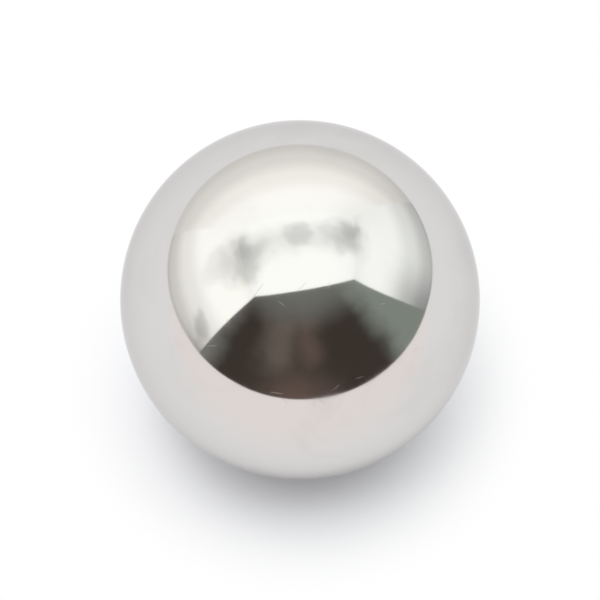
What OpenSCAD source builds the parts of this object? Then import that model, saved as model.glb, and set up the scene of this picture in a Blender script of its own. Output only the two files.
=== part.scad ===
// Polished steel ball: one solid piece, centred on the origin, with +Z up.
// Lengths are in millimetres.

/* [Ball] */
// Diameter of the ball
ball_d = 8; // [3:0.5:25]

/* [Hidden] */

// Sides around the ball where it is shown as facets
ball_sides = 128;

// Bright steel, very slightly warm
steel = [0.80, 0.79, 0.77];

// A ball is steel all through, with no bore, flat, seam or coating.
// Every point of its surface lies at the same distance from the origin,
// so a race, cup or magnet can hold it at any point.
module ball() {
    color(steel)
        sphere(d = ball_d, $fn = ball_sides);
}

ball();
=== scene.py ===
import math

import bpy
from bpy.props import FloatProperty, FloatVectorProperty, IntProperty, PointerProperty
from bpy.types import Operator, Panel, PropertyGroup
from mathutils import Matrix, Vector


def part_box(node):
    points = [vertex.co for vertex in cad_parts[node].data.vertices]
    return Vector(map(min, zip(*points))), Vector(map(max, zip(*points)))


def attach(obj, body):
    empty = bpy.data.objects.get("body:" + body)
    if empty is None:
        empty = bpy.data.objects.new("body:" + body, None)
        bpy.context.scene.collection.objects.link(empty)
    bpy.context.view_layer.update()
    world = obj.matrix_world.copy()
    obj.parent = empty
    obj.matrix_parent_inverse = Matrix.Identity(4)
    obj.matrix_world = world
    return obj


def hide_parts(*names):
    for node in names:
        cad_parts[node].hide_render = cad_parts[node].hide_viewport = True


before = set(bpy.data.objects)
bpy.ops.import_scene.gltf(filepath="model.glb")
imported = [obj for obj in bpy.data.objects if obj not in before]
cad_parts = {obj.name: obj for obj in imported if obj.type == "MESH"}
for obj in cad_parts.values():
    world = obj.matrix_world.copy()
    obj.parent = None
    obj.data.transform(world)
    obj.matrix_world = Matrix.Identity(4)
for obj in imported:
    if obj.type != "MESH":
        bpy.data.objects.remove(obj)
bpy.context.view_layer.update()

bl_info = {
    "name": "Steel Ball",
    "version": (1, 0, 0),
    "blender": (4, 5, 0),
    "location": "View3D > Sidebar > Steel Ball",
    "description": "A polished steel ball on a white table inside a light tent",
    "category": "Add Mesh",
}

MM = 0.001
BALL_LOW, BALL_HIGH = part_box("ball")
BALL_DIAMETER = float(BALL_HIGH[2] - BALL_LOW[2])


# ---------------------------------------------------------------- properties


class BallShape(PropertyGroup):
    """Size and fineness of the ball."""

    diameter: FloatProperty(
        name="Diameter",
        description="Diameter of the ball, as the solid has it",
        default=BALL_DIAMETER,
        min=1 * MM,
        max=50 * MM,
        unit="LENGTH",
        precision=4,
    )
    rounds: IntProperty(
        name="Rounding Passes",
        description="How many times the round blank's faces are cut in four",
        default=5,
        min=3,
        max=6,
    )
    waviness: FloatProperty(
        name="Lapping Waviness",
        description="Height of the faint waves that lapping leaves in the polish",
        default=0.0009 * MM,
        min=0.0,
        max=0.01 * MM,
        unit="LENGTH",
        precision=6,
    )
    wave_length: FloatProperty(
        name="Wave Length",
        description="Distance from one faint wave to the next",
        default=0.7 * MM,
        min=0.1 * MM,
        max=5 * MM,
        unit="LENGTH",
        precision=5,
    )


class SteelFinish(PropertyGroup):
    """Colour and polish of the steel."""

    colour: FloatVectorProperty(
        name="Steel Colour",
        description="Colour of the bare polished steel",
        subtype="COLOR",
        size=3,
        min=0.0,
        max=1.0,
        default=(0.72, 0.70, 0.675),
    )
    edge_colour: FloatVectorProperty(
        name="Edge Colour",
        description="How much the steel still mirrors where it is seen edge on",
        subtype="COLOR",
        size=3,
        min=0.0,
        max=1.0,
        default=(0.80, 0.79, 0.78),
    )
    polish: FloatProperty(
        name="Polish Roughness",
        description="Roughness of the cleanest polish",
        default=0.05,
        min=0.0,
        max=1.0,
        subtype="FACTOR",
    )
    haze: FloatProperty(
        name="Haze",
        description="Roughness that the handling haze adds",
        default=0.05,
        min=0.0,
        max=1.0,
        subtype="FACTOR",
    )
    scratch_strength: FloatProperty(
        name="Scratch Strength",
        description="Share of their full roughness and depth that the scratches have",
        default=0.4,
        min=0.0,
        max=1.0,
        subtype="FACTOR",
    )


class TableStudio(PropertyGroup):
    """The white table, the light tent round it and the camera."""

    table_colour: FloatVectorProperty(
        name="Table Colour",
        description="Colour of the white table top",
        subtype="COLOR",
        size=3,
        min=0.0,
        max=1.0,
        default=(0.925, 0.93, 0.985),
    )
    tent_height: FloatProperty(
        name="Tent Height",
        description="Height of the tent's lit ceiling above the ball's centre",
        default=0.55,
        min=0.1,
        max=2.0,
        unit="LENGTH",
    )
    table_front: FloatProperty(
        name="Table Front",
        description="Distance from the ball's centre to the table's front edge",
        default=0.072,
        min=0.01,
        max=1.0,
        unit="LENGTH",
    )
    tent_turn: FloatProperty(
        name="Tent Turn",
        description="Angle by which the tent's open front is turned from the camera",
        default=math.radians(7.4),
        subtype="ANGLE",
    )
    elevation: FloatProperty(
        name="Camera Elevation",
        description="Angle of the camera above the table",
        default=math.radians(62),
        min=0.0,
        max=math.radians(90),
        subtype="ANGLE",
    )
    camera_distance: FloatProperty(
        name="Camera Distance",
        description="Distance from the camera to the ball's centre",
        default=0.52,
        min=0.05,
        max=5.0,
        unit="LENGTH",
    )
    ball_share: FloatProperty(
        name="Ball Share",
        description="Share of the width of the camera's view that the ball fills",
        default=0.60,
        min=0.1,
        max=0.9,
        subtype="FACTOR",
    )


# ---------------------------------------------------------------- small helpers


def deselect_everything():
    """Operators act on whatever is selected, and the loaded solid starts out selected."""
    if bpy.context.mode != "OBJECT":
        bpy.ops.object.mode_set(mode="OBJECT")
    bpy.ops.object.select_all(action="DESELECT")


def apply_modifier(thing, modifier):
    bpy.context.view_layer.objects.active = thing
    bpy.ops.object.modifier_apply(modifier=modifier.name)


def opaque(colour):
    return (*colour, 1.0)


def sine(degrees):
    return math.sin(math.radians(degrees))


def cosine(degrees):
    return math.cos(math.radians(degrees))


class Nodes:
    """Short words for adding and joining nodes in one tree."""

    def __init__(self, tree):
        self.tree = tree

    def add(self, kind, label="", **settings):
        node = self.tree.nodes.new(kind)
        node.label = label
        for key, value in settings.items():
            setattr(node, key, value)
        return node

    def join(self, source, target):
        self.tree.links.new(source, target)

    def feed(self, socket, value):
        """Joins an output to the socket, or writes a plain value on it."""
        if isinstance(value, bpy.types.NodeSocket):
            self.join(value, socket)
        else:
            socket.default_value = value

    def put_out(self, shader, kind="ShaderNodeOutputMaterial"):
        """Joins the finished shader to the tree's output."""
        self.join(shader.outputs[0], self.add(kind).inputs["Surface"])

    def math(self, operation, first, second=0.0, label="", clamp=False):
        node = self.add("ShaderNodeMath", label, operation=operation, use_clamp=clamp)
        self.feed(node.inputs[0], first)
        self.feed(node.inputs[1], second)
        return node.outputs[0]

    def vector(self, operation, first, second=(0.0, 0.0, 0.0), label=""):
        node = self.add("ShaderNodeVectorMath", label, operation=operation)
        self.feed(node.inputs[0], first)
        self.feed(node.inputs[1], second)
        gives_number = operation in ("DOT_PRODUCT", "LENGTH", "DISTANCE")
        return node.outputs["Value" if gives_number else "Vector"]

    def scale(self, vector, factor, label=""):
        node = self.add("ShaderNodeVectorMath", label, operation="SCALE")
        self.feed(node.inputs[0], vector)
        self.feed(node.inputs["Scale"], factor)
        return node.outputs["Vector"]

    def remap(self, value, low, high, to_low=0.0, to_high=1.0, label=""):
        """A smooth step from to_low to to_high while the value goes from low to high."""
        node = self.add("ShaderNodeMapRange", label, interpolation_type="SMOOTHSTEP")
        self.feed(node.inputs["Value"], value)
        self.feed(node.inputs["From Min"], low)
        self.feed(node.inputs["From Max"], high)
        self.feed(node.inputs["To Min"], to_low)
        self.feed(node.inputs["To Max"], to_high)
        return node.outputs["Result"]

    def fade(self, value, reach, label=""):
        """1 where the value is 0, down to 0 where it comes to the reach."""
        return self.remap(value, 0.0, reach, 1.0, 0.0, label)

    def noise(self, vector, scale, detail=2.0, roughness=0.5, distortion=0.0, label="", output="Fac"):
        node = self.add("ShaderNodeTexNoise", label)
        self.feed(node.inputs["Vector"], vector)
        self.feed(node.inputs["Scale"], scale)
        self.feed(node.inputs["Detail"], detail)
        self.feed(node.inputs["Roughness"], roughness)
        self.feed(node.inputs["Distortion"], distortion)
        return node.outputs[output]

    def mix_colour(self, factor, first, second, label=""):
        """Of the Mix node's sockets, inputs 6 and 7 and output 2 are its colours."""
        node = self.add("ShaderNodeMix", label, data_type="RGBA")
        self.feed(node.inputs["Factor"], factor)
        self.feed(node.inputs[6], first)
        self.feed(node.inputs[7], second)
        return node.outputs[2]

    def separate(self, vector):
        node = self.add("ShaderNodeSeparateXYZ")
        self.feed(node.inputs[0], vector)
        return node.outputs


def new_material(name):
    """A new material, its nodes, and the place on the object that its patterns read."""
    material = bpy.data.materials.new(name)
    material.use_nodes = True
    material.node_tree.nodes.clear()
    nodes = Nodes(material.node_tree)
    return material, nodes, nodes.add("ShaderNodeTexCoord").outputs["Object"]


# ---------------------------------------------------------------- effects


def effect_group(name, inputs):
    """A shader node group that puts out one mask. Inputs are given as (name, kind, value or None)."""
    group = bpy.data.node_groups.new(name, "ShaderNodeTree")
    for label, kind, value in inputs:
        socket = group.interface.new_socket(name=label, in_out="INPUT", socket_type=kind)
        if value is not None:
            socket.default_value = value
    group.interface.new_socket(name="Mask", in_out="OUTPUT", socket_type="NodeSocketFloat")
    nodes = Nodes(group)
    given = nodes.add("NodeGroupInput").outputs
    return nodes, given, nodes.add("NodeGroupOutput").inputs["Mask"]


def cells_of(nodes, given, label):
    """Random cells in the millimetres that the group is given, one mark to a cell."""
    cells = nodes.add("ShaderNodeTexVoronoi", label, feature="F1")
    nodes.join(given["Millimetres"], cells.inputs["Vector"])
    nodes.join(given["Cells per Millimetre"], cells.inputs["Scale"])
    return cells.outputs


def scratches_group():
    """Short straight scratches, each lying its own way, at random places."""
    nodes, given, mask = effect_group(
        "Scratches",
        [
            ("Millimetres", "NodeSocketVector", None),
            ("Cells per Millimetre", "NodeSocketFloat", 0.5),
            ("Half Length", "NodeSocketFloat", 0.8),
            ("Half Width", "NodeSocketFloat", 0.012),
            ("Share Kept", "NodeSocketFloat", 0.3),
        ],
    )
    cells = cells_of(nodes, given, "one scratch to a cell")
    any_way = nodes.vector("SUBTRACT", cells["Color"], (0.5, 0.5, 0.5), "a way of its own")
    across = nodes.vector("CROSS_PRODUCT", any_way, cells["Position"], "square to the scratch")
    across = nodes.vector("NORMALIZE", across)
    off_line = nodes.math("ABSOLUTE", nodes.vector("DOT_PRODUCT", given["Millimetres"], across))
    line = nodes.fade(off_line, given["Half Width"], "thin line")
    reach = nodes.vector("DISTANCE", given["Millimetres"], cells["Position"], "from the cell's centre")
    ends = nodes.fade(reach, given["Half Length"], "faded ends")
    chance = nodes.add("ShaderNodeTexWhiteNoise", "chance", noise_dimensions="3D")
    nodes.join(cells["Color"], chance.inputs["Vector"])
    kept = nodes.math("LESS_THAN", chance.outputs["Value"], given["Share Kept"])
    nodes.join(nodes.math("MULTIPLY", nodes.math("MULTIPLY", line, ends), kept), mask)
    return nodes.tree


def pits_group():
    """Small round pits at random places."""
    nodes, given, mask = effect_group(
        "Pits",
        [
            ("Millimetres", "NodeSocketVector", None),
            ("Cells per Millimetre", "NodeSocketFloat", 1.0),
            ("Radius", "NodeSocketFloat", 0.05),
            ("Share Kept", "NodeSocketFloat", 0.2),
        ],
    )
    cells = cells_of(nodes, given, "one pit to a cell")
    pit = nodes.fade(cells["Distance"], given["Radius"], "round pit")
    chance = nodes.add("ShaderNodeSeparateColor", "chance")
    nodes.join(cells["Color"], chance.inputs[0])
    kept = nodes.math("LESS_THAN", chance.outputs[0], given["Share Kept"])
    nodes.join(nodes.math("MULTIPLY", pit, kept), mask)
    return nodes.tree


def placed(nodes, effect, label, millimetres, values):
    """Places an effect in a material with values of its own, and returns its mask."""
    node = nodes.add("ShaderNodeGroup", label, node_tree=effect)
    nodes.join(millimetres, node.inputs["Millimetres"])
    for name, value in values.items():
        node.inputs[name].default_value = value
    return node.outputs["Mask"]


# ---------------------------------------------------------------- the ball


# Each size of scratch: cells per millimetre, half length and half width in millimetres, share kept.
SCRATCH_SIZES = (
    (0.8, 0.55, 0.007, 0.5),
    (1.3, 0.33, 0.006, 0.5),
    (2.2, 0.20, 0.005, 0.4),
)

# Pits: cells per millimetre, radius in millimetres, share kept, colour, and how far that covers.
PIT_CELLS = 1.4
PIT_RADIUS = 0.03
PIT_SHARE = 0.10
PIT_COLOUR = (0.16, 0.14, 0.12, 1.0)
PIT_COVER = 0.75

# Waves of haze and grain per millimetre, and the share of the steel's colour that full haze leaves.
HAZE_SCALE = 0.45
GRAIN_SCALE = 14.0
HAZE_DULLING = 0.955

# Roughness that each adds at its strongest.
GRAIN_ROUGHNESS = 0.02
SCRATCH_ROUGHNESS = 0.3
PIT_ROUGHNESS = 0.35

# Depth of a pit, and the share of it that the strongest scratch has.
PIT_DEPTH = 0.0025 * MM
SCRATCH_DEPTH = 0.5


def rounded_blank(shape):
    """A cube cut once, pushed out round, cut ever finer and trued to its radius, so it has no pole."""
    deselect_everything()
    bpy.ops.mesh.primitive_cube_add(size=shape.diameter, location=(0.0, 0.0, 0.0))
    ball = bpy.context.active_object
    ball.name = ball.data.name = "polished_ball"
    bpy.ops.object.mode_set(mode="EDIT")
    bpy.ops.mesh.select_all(action="SELECT")
    bpy.ops.mesh.subdivide(number_cuts=1)
    bpy.ops.transform.tosphere(value=1.0)
    bpy.ops.object.mode_set(mode="OBJECT")

    finer = ball.modifiers.new("finer faces", "SUBSURF")
    finer.levels = finer.render_levels = shape.rounds
    apply_modifier(ball, finer)
    true_up = ball.modifiers.new("true up", "CAST")
    true_up.cast_type = "SPHERE"
    true_up.factor = 1.0
    true_up.radius = 0.0
    true_up.use_radius_as_size = False
    true_up.size = shape.diameter / 2
    apply_modifier(ball, true_up)
    return ball


def lap(ball, shape):
    """The slow waves that lapping leaves: too low to feel, but enough to bend a mirrored edge."""
    waves = bpy.data.textures.new("lapping waves", "CLOUDS")
    waves.noise_scale = shape.wave_length
    waves.noise_depth = 1
    lapping = ball.modifiers.new("lapping", "DISPLACE")
    lapping.texture = waves
    lapping.texture_coords = "LOCAL"
    lapping.direction = "NORMAL"
    lapping.mid_level = 0.5
    lapping.strength = shape.waviness
    apply_modifier(ball, lapping)
    bpy.ops.object.shade_smooth()


def polished_steel(finish):
    """Bright steel: a clean mirror with a breath of haze, a few fine scratches and fewer pits."""
    material, nodes, place = new_material("polished_steel")
    millimetres = nodes.scale(place, 1 / MM, "metres to millimetres")

    scratches = scratches_group()
    scratched = 0.0
    for cells, half_length, half_width, share in SCRATCH_SIZES:
        values = {
            "Cells per Millimetre": cells,
            "Half Length": half_length,
            "Half Width": half_width,
            "Share Kept": share,
        }
        mask = placed(nodes, scratches, "scratches", millimetres, values)
        scratched = nodes.math("MAXIMUM", scratched, mask)
    values = {"Cells per Millimetre": PIT_CELLS, "Radius": PIT_RADIUS, "Share Kept": PIT_SHARE}
    pitted = placed(nodes, pits_group(), "pits", millimetres, values)
    smears = nodes.noise(
        millimetres, HAZE_SCALE, detail=4.0, roughness=0.6, distortion=0.8, label="handling haze"
    )
    haze = nodes.remap(smears, 0.45, 0.75, label="haze comes and goes")
    grain = nodes.noise(millimetres, GRAIN_SCALE, label="fine polish grain")

    shader = nodes.add("ShaderNodeBsdfPrincipled", "steel")
    shader.inputs["Metallic"].default_value = 1.0
    shader.inputs["Specular Tint"].default_value = opaque(finish.edge_colour)
    hazed = opaque([HAZE_DULLING * c for c in finish.colour])
    surface = nodes.mix_colour(haze, opaque(finish.colour), hazed, "haze dulls the steel a little")
    pit_cover = nodes.math("MULTIPLY", pitted, PIT_COVER)
    surface = nodes.mix_colour(pit_cover, surface, PIT_COLOUR, "pits are dark")
    nodes.join(surface, shader.inputs["Base Color"])

    rough = finish.polish
    for mask, added in (
        (haze, finish.haze),
        (grain, GRAIN_ROUGHNESS),
        (scratched, SCRATCH_ROUGHNESS * finish.scratch_strength),
        (pitted, PIT_ROUGHNESS),
    ):
        rough = nodes.math("ADD", nodes.math("MULTIPLY", mask, added), rough, clamp=True)
    nodes.join(rough, shader.inputs["Roughness"])

    scratch_depth = nodes.math("MULTIPLY", scratched, SCRATCH_DEPTH * finish.scratch_strength)
    bump = nodes.add("ShaderNodeBump", "scratches and pits cut in", invert=True)
    bump.inputs["Strength"].default_value = 1.0
    bump.inputs["Distance"].default_value = PIT_DEPTH
    nodes.join(nodes.math("ADD", scratch_depth, pitted), bump.inputs["Height"])
    nodes.join(bump.outputs["Normal"], shader.inputs["Normal"])
    nodes.put_out(shader)
    return material


class MESH_OT_steel_ball(Operator):
    """Makes the polished ball and puts it in the place of the plain solid"""

    bl_idname = "mesh.steel_ball"
    bl_label = "Steel Ball"
    bl_options = {"REGISTER", "UNDO"}

    def execute(self, context):
        ball = rounded_blank(context.scene.ball_shape)
        lap(ball, context.scene.ball_shape)
        ball.data.materials.clear()
        ball.data.materials.append(polished_steel(context.scene.steel_finish))
        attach(ball, "root")
        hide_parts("ball")
        return {"FINISHED"}


# ---------------------------------------------------------------- stage: sheets and plain white


WHITE = (1.0, 1.0, 1.0, 1.0)

# Cuts along each side of a sheet, enough for a smoothly bowed hem.
SHEET_CUTS = 11


def hung_sheet(name, corners, bow=(0.0, 0.0, 0.0)):
    """A plane cut finer and hung by its corners, with the middle of its front hem bowed out.

    The corners are the front hem's start and end, then the back hem's end and start.
    """
    deselect_everything()
    bpy.ops.mesh.primitive_plane_add(size=2.0, location=(0.0, 0.0, 0.0))
    sheet = bpy.context.active_object
    sheet.name = sheet.data.name = name
    bpy.ops.object.mode_set(mode="EDIT")
    bpy.ops.mesh.select_all(action="SELECT")
    bpy.ops.mesh.subdivide(number_cuts=SHEET_CUTS)
    bpy.ops.object.mode_set(mode="OBJECT")
    front_start, front_end, back_end, back_start = (Vector(corner) for corner in corners)
    for vertex in sheet.data.vertices:
        along = (1 + vertex.co.x) / 2
        to_back = (1 + vertex.co.y) / 2
        bowed = 4 * along * (1 - along)
        front = front_start.lerp(front_end, along) + bowed * Vector(bow)
        back = back_start.lerp(back_end, along)
        vertex.co = front.lerp(back, to_back)
    return sheet


def seen_ray(nodes, path):
    """1 for a ray that is seen: straight from the camera, in a mirror or through glass."""
    seen = nodes.math("MAXIMUM", path["Is Camera Ray"], path["Is Glossy Ray"])
    return nodes.math("MAXIMUM", seen, path["Is Transmission Ray"])


# ---------------------------------------------------------------- stage: table


# In shares of the tent's height.
TABLE_REACH = 1.2

# In ball radii from the point that the ball stands on. The warm tint's places are along Y.
PAPER_WITHIN = 0.5
WHITE_BEYOND = 1.38
WARM_FROM = -1.2
WARM_FULL = -3.5

# Painted tints of the table's reflection, which only the steel mirrors.
COOL_WHITE = (0.955, 0.962, 0.99, 1.0)
WARM_WHITE = (0.995, 0.95, 0.955, 1.0)


def table_material(studio, radius):
    """Paper that takes the shadow near the ball, and plain white where it is seen further off."""
    material, nodes, place = new_material("white_table")
    away = nodes.vector("LENGTH", place)
    far = nodes.remap(away, PAPER_WITHIN * radius, WHITE_BEYOND * radius, label="far from the ball")
    depth = nodes.separate(place)["Y"]
    in_front = nodes.remap(depth, WARM_FROM * radius, WARM_FULL * radius, label="in front of the ball")
    path = nodes.add("ShaderNodeLightPath").outputs
    # Painted reflection: the white that the steel mirrors is cool, and warm in front.
    mirrored = nodes.mix_colour(in_front, COOL_WHITE, WARM_WHITE, "cool, and warm in front")
    white = nodes.mix_colour(path["Is Glossy Ray"], WHITE, mirrored, "tinted only in the steel")
    paper = nodes.add("ShaderNodeBsdfDiffuse")
    paper.inputs["Color"].default_value = opaque(studio.table_colour)
    plain_white = nodes.add("ShaderNodeEmission")
    nodes.join(white, plain_white.inputs["Color"])
    mixed = nodes.add("ShaderNodeMixShader")
    nodes.join(nodes.math("MULTIPLY", far, seen_ray(nodes, path)), mixed.inputs[0])
    nodes.join(paper.outputs[0], mixed.inputs[1])
    nodes.join(plain_white.outputs[0], mixed.inputs[2])
    nodes.put_out(mixed)
    material.cycles.emission_sampling = "NONE"
    return material


def white_table(studio, radius):
    """A white table top, as white as what lies past it, so that its edges show only in the steel."""
    turn = Matrix.Rotation(studio.tent_turn, 3, "Z")
    reach = TABLE_REACH * studio.tent_height
    front = -studio.table_front
    outline = ((-reach, front), (reach, front), (reach, reach), (-reach, reach))
    table = hung_sheet("table", [turn @ Vector((x, y, 0.0)) for x, y in outline])
    table.location.z = -radius
    table.data.materials.append(table_material(studio, radius))


# ---------------------------------------------------------------- stage: light tent and room


# Brightness of the tent's lit cloth, where a plain white is 1.
CLOTH_GLOW = 1.4

# In shares of the tent's height, in its own turned frame: X to the right, Y to the back and Z up.
SIDE_FOOT = -0.06
BACK_HALF_WIDTH = 0.76
BACK_DEPTH = 0.58
CEILING_BOW = 0.047
LEFT_BOW = 0.015
RIGHT_BOW = 0.052
ROOM_HALF_WIDTH = 9
ROOM_FRONT = -0.9
ROOM_FOOT = -2
ROOM_HEAD = 9
FOLD_PLACE = 0.23
FOLD_REACH = 0.28

# Waves and reach of the slack in the cloth, which bends the edges of the painted shade, in tent
# heights.
SLACK_WAVES = 4.0
SLACK_REACH = 0.3

# Waves and reach of the ragged edges in the room, in directions of length 1.
RAGGED_WAVES = 4.0
RAGGED_REACH = 0.22

# How far an upright shape's ends fade either way, in degrees as seen from the ball.
FOOT_BLUR = 10
HEAD_BLUR = 12


def direction(bearing, rise):
    """A direction from the ball: degrees round from the camera's side to its right, and degrees up."""
    return (sine(bearing) * cosine(rise), -cosine(bearing) * cosine(rise), sine(rise))


def patch(nodes, place, bearing, rise, inner, outer):
    """Mask of a soft round patch: 1 within inner degrees of a direction, 0 beyond outer degrees."""
    out = nodes.vector("NORMALIZE", place)
    along = nodes.vector("DOT_PRODUCT", out, direction(bearing, rise))
    return nodes.remap(along, cosine(outer), cosine(inner))


def height_ramp(nodes, height, stops):
    """Colours up a panel: (share of the tent's height, colour) from the table upwards."""
    ramp = nodes.add("ShaderNodeValToRGB", "colours from the table up")
    ramp.color_ramp.interpolation = "EASE"
    elements = ramp.color_ramp.elements
    elements.remove(elements[1])
    first_share, first_colour = stops[0]
    elements[0].position = first_share
    elements[0].color = opaque(first_colour)
    for share, colour in stops[1:]:
        elements.new(share).color = opaque(colour)
    nodes.join(height, ramp.inputs["Fac"])
    return ramp.outputs["Color"]


def tent_coordinates(nodes, place, studio):
    """Places in the tent's own turned frame, in shares of its height."""
    turned = nodes.add("ShaderNodeMapping", "turned with the tent", vector_type="TEXTURE")
    nodes.join(place, turned.inputs["Vector"])
    turned.inputs["Rotation"].default_value = (0.0, 0.0, studio.tent_turn)
    turned.inputs["Scale"].default_value = (studio.tent_height,) * 3
    return nodes.separate(turned.outputs["Vector"])


def paint_shade(nodes, colour, mask, share):
    """Painted shade: takes the colour down to a share of itself where the mask is 1."""
    return nodes.mix_colour(mask, colour, nodes.scale(colour, share, "darker"))


def wandering(nodes, vector, scale, reach, label):
    """The vector, moved a little this way and that, so that what follows it has no ruled edge."""
    wander = nodes.noise(vector, scale, label=label, output="Color")
    shift = nodes.vector("SUBTRACT", wander, (0.5, 0.5, 0.5))
    return nodes.vector("ADD", vector, nodes.scale(shift, reach))


def slack(nodes, place, studio):
    """The place on cloth that doesn't hang quite flat, which bends the edges of the painted shade on
    it.
    """
    height = studio.tent_height
    return wandering(nodes, place, SLACK_WAVES / height, SLACK_REACH * height, "slack in the cloth")


def painted_shade_spots(nodes, place, cloth):
    """Painted shade: darker spots where the cloth sags, some with a smaller and darker spot inside."""
    for bearing, rise, inner, outer, share in (
        (-93, 54, 3, 20, 0.82),
        (-89, 55, 1, 13, 0.80),
        (-105, 53, 1, 8, 0.86),
        (-95, 36, 2, 14, 0.87),
        (-66, 9, 1, 10, 0.66),
        (180, 74, 1, 10, 0.78),
        (110, 56, 2, 14, 0.92),
        (123, 59, 3, 16, 0.77),
        (126, 55, 1, 8, 0.88),
    ):
        cloth = paint_shade(nodes, cloth, patch(nodes, place, bearing, rise, inner, outer), share)
    return cloth


def glowing(material, nodes, colour, strength):
    """Finishes a material that glows in its own colour, and returns it."""
    shader = nodes.add("ShaderNodeEmission")
    nodes.join(colour, shader.inputs["Color"])
    shader.inputs["Strength"].default_value = strength
    nodes.put_out(shader)
    material.cycles.emission_sampling = "NONE"
    return material


def ceiling_material(studio):
    """The ceiling: cooler to the right, with painted shade of a slack fold across it, painted shade
    spots, and painted shade along the hems at its sides.
    """
    material, nodes, place = new_material("tent_ceiling")
    at = tent_coordinates(nodes, place, studio)
    to_right = nodes.remap(at["X"], 0.1, 0.7, label="cooler to the right")
    cloth = nodes.mix_colour(to_right, (0.965, 0.99, 0.985, 1.0), (0.935, 0.97, 0.97, 1.0))
    loose = slack(nodes, place, studio)
    across = tent_coordinates(nodes, loose, studio)
    # Painted shade: the glowing ceiling darker in a band where the cloth folds.
    from_fold = nodes.math("ABSOLUTE", nodes.math("SUBTRACT", across["Y"], FOLD_PLACE))
    fold = nodes.fade(from_fold, FOLD_REACH, "painted shade of a fold across the cloth")
    cloth = paint_shade(nodes, cloth, fold, 0.84)
    cloth = painted_shade_spots(nodes, loose, cloth)
    # Painted shade along the ceiling's side hems.
    aside = nodes.math("ABSOLUTE", at["X"])
    hem = nodes.remap(aside, 0.5, BACK_HALF_WIDTH, label="painted shade along the side hems")
    cloth = paint_shade(nodes, cloth, hem, 0.93)
    return glowing(material, nodes, cloth, CLOTH_GLOW)


def side_material(name, studio, low, rising, full):
    """A side of the tent: painted shade near the table, bright halfway up, painted shade again under
    the ceiling.
    """
    material, nodes, place = new_material(name)
    at = tent_coordinates(nodes, place, studio)
    # Painted shade: the cloth darker still at the table and just under the ceiling.
    foot = [0.84 * c for c in low]
    hem = [0.93 * c for c in full]
    stops = ((0.0, foot), (0.04, low), (0.2, rising), (0.42, full), (0.72, full), (1.0, hem))
    cloth = height_ramp(nodes, at["Z"], stops)
    return material, nodes, at, painted_shade_spots(nodes, slack(nodes, place, studio), cloth)


def shade_low_front(nodes, at, cloth, start, full, height, share):
    """Paints shade on a side below a height, more and more from one depth to another towards the open
    front.
    """
    toward_front = nodes.remap(at["Y"], start, full, label="towards the open front")
    low_down = nodes.fade(at["Z"], height, "low down")
    return paint_shade(nodes, cloth, nodes.math("MULTIPLY", toward_front, low_down), share)


def left_material(studio):
    """The left side, with painted shade along its bottom hem near the open front."""
    material, nodes, at, cloth = side_material(
        "tent_left",
        studio,
        low=(0.575, 0.57, 0.56),
        rising=(0.78, 0.785, 0.765),
        full=(0.96, 0.98, 0.955),
    )
    cloth = shade_low_front(nodes, at, cloth, start=0.05, full=-0.40, height=0.09, share=0.66)
    return glowing(material, nodes, cloth, CLOTH_GLOW)


def right_material(studio):
    """The right side, with painted shade low down near the open front and a little towards the back
    corner.
    """
    material, nodes, at, cloth = side_material(
        "tent_right",
        studio,
        low=(0.50, 0.52, 0.52),
        rising=(0.71, 0.74, 0.735),
        full=(0.90, 0.935, 0.93),
    )
    cloth = shade_low_front(nodes, at, cloth, start=0.12, full=-0.20, height=0.60, share=0.52)
    # Painted shade towards the back corner.
    to_back = nodes.remap(at["Y"], 0.1, BACK_DEPTH, label="towards the back corner")
    cloth = paint_shade(nodes, cloth, to_back, 0.92)
    return glowing(material, nodes, cloth, CLOTH_GLOW)


def back_material(studio):
    """The back: painted shade near the table, bright from halfway up, a little painted shade towards
    the right corner.
    """
    material, nodes, place = new_material("tent_back")
    at = tent_coordinates(nodes, place, studio)
    # Painted shade: the back dimmer near the table, bright from halfway up.
    stops = (
        (0.0, (0.575, 0.575, 0.56)),
        (0.14, (0.675, 0.67, 0.655)),
        (0.34, (0.85, 0.85, 0.825)),
        (0.6, (0.96, 0.97, 0.95)),
        (1.0, (0.95, 0.975, 0.97)),
    )
    cloth = height_ramp(nodes, at["Z"], stops)
    # Painted shade towards the right corner.
    to_right = nodes.remap(at["X"], 0.25, BACK_HALF_WIDTH, label="towards the right corner")
    cloth = paint_shade(nodes, cloth, to_right, 0.89)
    return glowing(material, nodes, cloth, CLOTH_GLOW)


def upright(nodes, out, bearing, half_width, low, high, label):
    """Mask of a soft upright shape. Its bearing, half width, low and high end are in degrees."""
    aside = nodes.math("ABSOLUTE", nodes.vector("DOT_PRODUCT", out, direction(bearing + 90, 0)))
    across = nodes.fade(aside, sine(half_width), label)
    up = nodes.separate(out)["Z"]
    foot = nodes.remap(up, sine(low - FOOT_BLUR), sine(low + FOOT_BLUR))
    head = nodes.remap(up, sine(high - HEAD_BLUR), sine(high + HEAD_BLUR), 1.0, 0.0)
    return nodes.math("MULTIPLY", across, nodes.math("MULTIPLY", foot, head))


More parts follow.
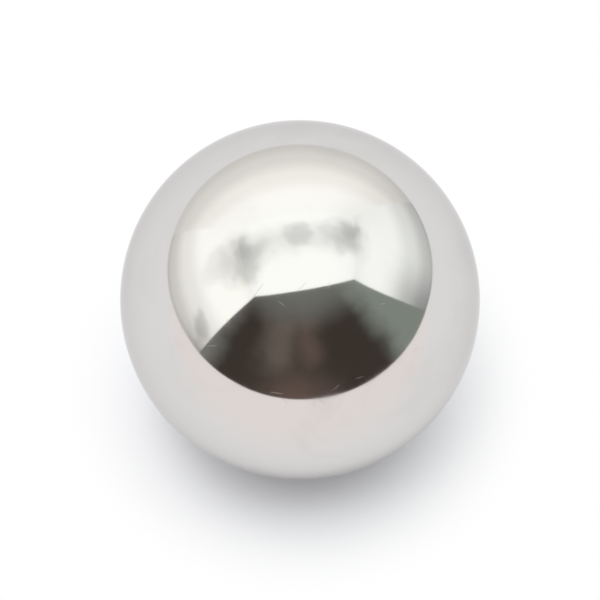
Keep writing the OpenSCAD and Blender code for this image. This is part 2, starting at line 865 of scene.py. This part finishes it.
def room_material(studio):
    """The dim room in front of the tent, a glowing sheet with the room's light and shade painted on,
    which the steel mirrors: brown in the middle, green-grey above and to the right.
    """
    material, nodes, place = new_material("dark_room")
    out = nodes.vector("NORMALIZE", place, label="which way it lies")
    ragged = wandering(nodes, out, RAGGED_WAVES, RAGGED_REACH, "ragged edges")
    # Painted light and shade of the room, which the steel mirrors as a painted reflection.
    dark = (0.056, 0.046, 0.039, 1.0)
    for bearing, half_width, low, high, colour, label in (
        (-15, 19, 14, 54, (0.160, 0.130, 0.115), "grey-brown upright"),
        (7, 12, 18, 60, (0.135, 0.100, 0.086), "second upright"),
        (-2, 34, -30, 12, (0.150, 0.108, 0.092), "brown low down"),
    ):
        shape = upright(nodes, ragged, bearing, half_width, low, high, label)
        dark = nodes.mix_colour(shape, dark, opaque(colour))
    above = nodes.remap(nodes.separate(out)["Z"], 0.62, 0.94, label="up towards the ceiling")
    dark = nodes.mix_colour(above, dark, (0.205, 0.215, 0.197, 1.0))
    for bearing, rise, start, full, colour, label in (
        (130, 10, 0.16, 0.46, (0.275, 0.315, 0.285), "green-grey next to the right hem"),
        (-130, 0, 0.05, 0.33, (0.228, 0.230, 0.220), "grey next to the left hem"),
    ):
        across = nodes.vector("DOT_PRODUCT", ragged, direction(bearing, rise))
        dark = nodes.mix_colour(nodes.remap(across, start, full, label=label), dark, opaque(colour))
    return glowing(material, nodes, dark, 1.0)


def out_of_view(panel):
    """A tent panel shows in the steel and lights the table, but hides no view and shades nothing."""
    panel.visible_camera = False
    panel.visible_transmission = False
    panel.visible_volume_scatter = False
    panel.visible_shadow = False


def light_tent(studio):
    """Ceiling, two sides and back of a light tent, with a dark room in front of its open face."""
    turn = Matrix.Rotation(studio.tent_turn, 3, "Z")

    def at(x, y, z):
        """A place in the tent's own turned frame, given in shares of its height."""
        return turn @ Vector((x, y, z)) * studio.tent_height

    left_top = at(-0.67, -0.392, 1)
    left_foot = at(-0.68, -0.277, SIDE_FOOT)
    right_top = at(0.67, -0.314, 1)
    right_foot = at(0.687, -0.135, SIDE_FOOT)
    back_left_top = at(-BACK_HALF_WIDTH, BACK_DEPTH, 1)
    back_left_foot = at(-BACK_HALF_WIDTH, BACK_DEPTH, SIDE_FOOT)
    back_right_top = at(BACK_HALF_WIDTH, BACK_DEPTH, 1)
    back_right_foot = at(BACK_HALF_WIDTH, BACK_DEPTH, SIDE_FOOT)
    ceiling = (left_top, right_top, back_right_top, back_left_top)
    left_side = (left_foot, left_top, back_left_top, back_left_foot)
    right_side = (right_foot, right_top, back_right_top, back_right_foot)
    back = (back_left_foot, back_right_foot, back_right_top, back_left_top)
    room = (
        at(-ROOM_HALF_WIDTH, ROOM_FRONT, ROOM_FOOT),
        at(ROOM_HALF_WIDTH, ROOM_FRONT, ROOM_FOOT),
        at(ROOM_HALF_WIDTH, ROOM_FRONT, ROOM_HEAD),
        at(-ROOM_HALF_WIDTH, ROOM_FRONT, ROOM_HEAD),
    )
    forward = at(0, -1, 0)
    for name, corners, bow, material in (
        ("tent_ceiling", ceiling, CEILING_BOW, ceiling_material(studio)),
        ("tent_left", left_side, LEFT_BOW, left_material(studio)),
        ("tent_right", right_side, RIGHT_BOW, right_material(studio)),
        ("tent_back", back, 0.0, back_material(studio)),
        ("dark_room", room, 0.0, room_material(studio)),
    ):
        sheet = hung_sheet(name, corners, bow * forward)
        sheet.data.materials.append(material)
        out_of_view(sheet)


# ---------------------------------------------------------------- stage: lamp, world and camera


# The lamp's direction from the ball, its sides in metres and its power in watts.
LAMP_DIRECTION = (-0.2, -0.05, 1.0)
LAMP_LENGTH = 0.3
LAMP_WIDTH = 0.15
LAMP_POWER = 0.5

# Colour of the world's light where it isn't seen.
FILL_LIGHT = (0.15, 0.155, 0.17, 1.0)

# In millimetres.
SENSOR_WIDTH = 36.0


def overhead_lamp(studio):
    """A small soft lamp that darkens the heart of the ball's shadow. The steel doesn't mirror it."""
    deselect_everything()
    place = Vector(LAMP_DIRECTION).normalized() * studio.tent_height
    bpy.ops.object.light_add(type="AREA", location=place)
    lamp = bpy.context.active_object
    lamp.name = "overhead_lamp"
    lamp.rotation_euler = place.to_track_quat("Z", "Y").to_euler()
    lamp.data.shape = "RECTANGLE"
    lamp.data.size = LAMP_LENGTH
    lamp.data.size_y = LAMP_WIDTH
    lamp.data.energy = LAMP_POWER
    lamp.visible_camera = False
    lamp.visible_glossy = False


def white_world():
    """Plain white where the camera or the steel looks past the tent, and cool fill light elsewhere."""
    world = bpy.data.worlds.new("white_world")
    bpy.context.scene.world = world
    world.use_nodes = True
    world.node_tree.nodes.clear()
    nodes = Nodes(world.node_tree)
    seen = seen_ray(nodes, nodes.add("ShaderNodeLightPath").outputs)
    light = nodes.mix_colour(seen, FILL_LIGHT, WHITE, "fill light, or white where seen")
    shader = nodes.add("ShaderNodeBackground")
    nodes.join(light, shader.inputs["Color"])
    nodes.put_out(shader, "ShaderNodeOutputWorld")


def table_camera(studio, diameter):
    """The camera looks down at the ball from the open front of the tent."""
    data = bpy.data.cameras.new("camera")
    camera = bpy.data.objects.new("camera", data)
    bpy.context.collection.objects.link(camera)
    bpy.context.scene.camera = camera
    distance = studio.camera_distance
    view_width = diameter / studio.ball_share
    data.sensor_width = SENSOR_WIDTH
    data.lens = SENSOR_WIDTH * distance / view_width
    data.clip_start = distance * 0.01
    data.clip_end = distance * 100
    towards = Vector((0.0, -math.cos(studio.elevation), math.sin(studio.elevation)))
    camera.location = towards * distance
    camera.rotation_euler = towards.to_track_quat("Z", "Y").to_euler()


class SCENE_OT_table_studio(Operator):
    """Lays the white table, hangs the light tent round it and sets up the camera"""

    bl_idname = "scene.table_studio"
    bl_label = "Table Studio"
    bl_options = {"REGISTER", "UNDO"}

    def execute(self, context):
        studio = context.scene.table_studio
        diameter = context.scene.ball_shape.diameter
        table_camera(studio, diameter)
        white_table(studio, diameter / 2)
        light_tent(studio)
        overhead_lamp(studio)
        white_world()
        context.scene.view_settings.view_transform = "Standard"
        return {"FINISHED"}


# ---------------------------------------------------------------- panel and running


class VIEW3D_PT_steel_ball(Panel):
    """Sizes, finish and stage of the ball"""

    bl_idname = "VIEW3D_PT_steel_ball"
    bl_label = "Steel Ball"
    bl_space_type = "VIEW_3D"
    bl_region_type = "UI"
    bl_category = "Steel Ball"

    def draw(self, context):
        scene = context.scene
        for title, group, operator in (
            ("Ball", scene.ball_shape, MESH_OT_steel_ball.bl_idname),
            ("Steel", scene.steel_finish, None),
            ("Studio", scene.table_studio, SCENE_OT_table_studio.bl_idname),
        ):
            box = self.layout.box()
            box.label(text=title)
            for name in group.__annotations__:
                box.prop(group, name)
            if operator:
                box.operator(operator)


CLASSES = (
    BallShape,
    SteelFinish,
    TableStudio,
    MESH_OT_steel_ball,
    SCENE_OT_table_studio,
    VIEW3D_PT_steel_ball,
)


def register():
    for cls in CLASSES:
        bpy.utils.register_class(cls)
    bpy.types.Scene.ball_shape = PointerProperty(type=BallShape)
    bpy.types.Scene.steel_finish = PointerProperty(type=SteelFinish)
    bpy.types.Scene.table_studio = PointerProperty(type=TableStudio)


def unregister():
    del bpy.types.Scene.table_studio
    del bpy.types.Scene.steel_finish
    del bpy.types.Scene.ball_shape
    for cls in reversed(CLASSES):
        bpy.utils.unregister_class(cls)


def main():
    register()
    bpy.ops.scene.table_studio()
    bpy.ops.mesh.steel_ball()


if __name__ == "__main__":
    main()
